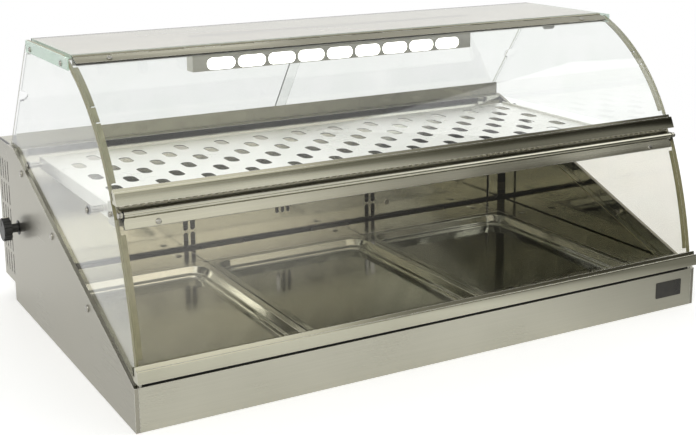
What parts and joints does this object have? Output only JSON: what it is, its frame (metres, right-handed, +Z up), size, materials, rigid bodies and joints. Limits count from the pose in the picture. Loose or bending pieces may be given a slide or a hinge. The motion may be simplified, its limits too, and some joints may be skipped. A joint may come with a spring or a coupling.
{
  "type": "heated display case",
  "caption": "Countertop heated display case with two curved glass flaps, sliding rear doors, a perforated shelf, three pans, a lamp and a fan-heated rear housing.",
  "frame": {"origin": "centre of the flat base, in the plane it stands on", "axes": "+Z up, +X to the right as the customer sees the case, +Y to the rear"},
  "size_m": [1.0875, 0.7198, 0.5017],
  "materials": {
    "sheet_steel": "satin",
    "pan_steel": "satin",
    "shelf_steel": "satin",
    "lamp_steel": "satin",
    "clear_glass": "gloss",
    "top_pane": "gloss",
    "clear_band": "gloss",
    "aluminium": "satin",
    "bright_steel": "polished",
    "fan_steel": "satin",
    "motor_paint": "satin",
    "heater_sheath": "matt",
    "black_plastic": "matt",
    "cream_plastic": "gloss",
    "grey_plastic": "matt",
    "plate_foil": "matt",
    "rubber": "matt",
    "lamp_white": "matt"
  },
  "bodies": {
    "case": {"base_tray": "sheet_steel", "front_panel": "sheet_steel", "side_panel_left": "sheet_steel", "side_panel_right": "sheet_steel", "deck": "sheet_steel", "rear_deck_covers": "sheet_steel", "water_tray": "sheet_steel", "back_wall": "sheet_steel", "housing_floor": "sheet_steel", "rear_cover": "sheet_steel", "rear_top_cover": "sheet_steel", "door_track_lower": "aluminium", "door_track_upper": "aluminium", "top_glass": "top_pane", "side_glass_left": "clear_glass", "side_glass_right": "clear_glass", "side_bands": "clear_band", "top_angles": "sheet_steel", "top_front_rail": "sheet_steel", "upper_hinge_pin": "bright_steel", "ceiling_tab": "grey_plastic", "lamp_housing": "lamp_steel", "lamp_tube": "lamp_white", "lamp_diffuser": "lamp_white", "mid_beam": "sheet_steel", "perforated_strip": "sheet_steel", "hinge_brackets": "sheet_steel", "lower_hinge_rod": "bright_steel", "shelf_frame": "sheet_steel", "shelf_studs": "bright_steel", "stud_pads": "rubber", "glass_screws": "bright_steel", "small_screws": "bright_steel", "thermostat": "black_plastic", "fan_motor": "motor_paint", "heater": "heater_sheath", "probe": "bright_steel", "terminal_block": "cream_plastic", "mains_inlet": "black_plastic", "switch_body": "black_plastic", "blank_plate": "plate_foil", "flap_stops": "bright_steel"},
    "upper_flap": {"upper_glass": "clear_glass", "upper_handle": "aluminium", "upper_channel": "aluminium", "upper_screws": "bright_steel"},
    "lower_flap": {"lower_glass": "clear_glass", "lower_handle": "aluminium", "hinge_tube": "aluminium", "clamp_strip": "aluminium", "clamp_screws": "bright_steel"},
    "pan_one": {"pan_1": "pan_steel"},
    "pan_two": {"pan_2": "pan_steel"},
    "pan_three": {"pan_3": "pan_steel"},
    "shelf_plate": {"shelf": "shelf_steel"},
    "left_door": {"door_left": "clear_glass"},
    "right_door": {"door_right": "clear_glass"},
    "control_knob": {"knob": "black_plastic"},
    "fan": {"fan_drum": "fan_steel"},
    "switch_rocker": {"rocker": "black_plastic"}
  },
  "joints": [
    {"name": "upper_flap_hinge", "type": "hinge", "parent": "case", "child": "upper_flap", "pos_m": [0, -0.05999, 0.49858], "axis": [-1, 0, 0], "range_deg": [0, 80]},
    {"name": "lower_flap_hinge", "type": "hinge", "parent": "case", "child": "lower_flap", "pos_m": [0, -0.26234, 0.30162], "axis": [-1, 0, 0], "range_deg": [0, 85]},
    {"name": "pan_one_lift", "type": "slide", "parent": "case", "child": "pan_one", "axis": [0, 0, 1], "range_m": [0, 0.03]},
    {"name": "pan_two_lift", "type": "slide", "parent": "case", "child": "pan_two", "axis": [0, 0, 1], "range_m": [0, 0.03]},
    {"name": "pan_three_lift", "type": "slide", "parent": "case", "child": "pan_three", "axis": [0, 0, 1], "range_m": [0, 0.03]},
    {"name": "shelf_lift", "type": "slide", "parent": "case", "child": "shelf_plate", "axis": [0, 0, 1], "range_m": [0, 0.015]},
    {"name": "left_door_slide", "type": "slide", "parent": "case", "child": "left_door", "axis": [1, 0, 0], "range_m": [0, 0.5]},
    {"name": "right_door_slide", "type": "slide", "parent": "case", "child": "right_door", "axis": [-1, 0, 0], "range_m": [0, 0.5]},
    {"name": "knob_turn", "type": "hinge", "parent": "case", "child": "control_knob", "pos_m": [-0.55, 0.269, 0.152], "axis": [-1, 0, 0], "range_deg": [0, 270]},
    {"name": "fan_spin", "type": "hinge", "parent": "case", "child": "fan", "pos_m": [0.01, 0.321, 0.205], "axis": [1, 0, 0], "continuous": true},
    {"name": "rocker_tip", "type": "hinge", "parent": "case", "child": "switch_rocker", "pos_m": [0.36, 0.3835, 0.08], "axis": [1, 0, 0], "range_deg": [0, 22]}
  ]
}
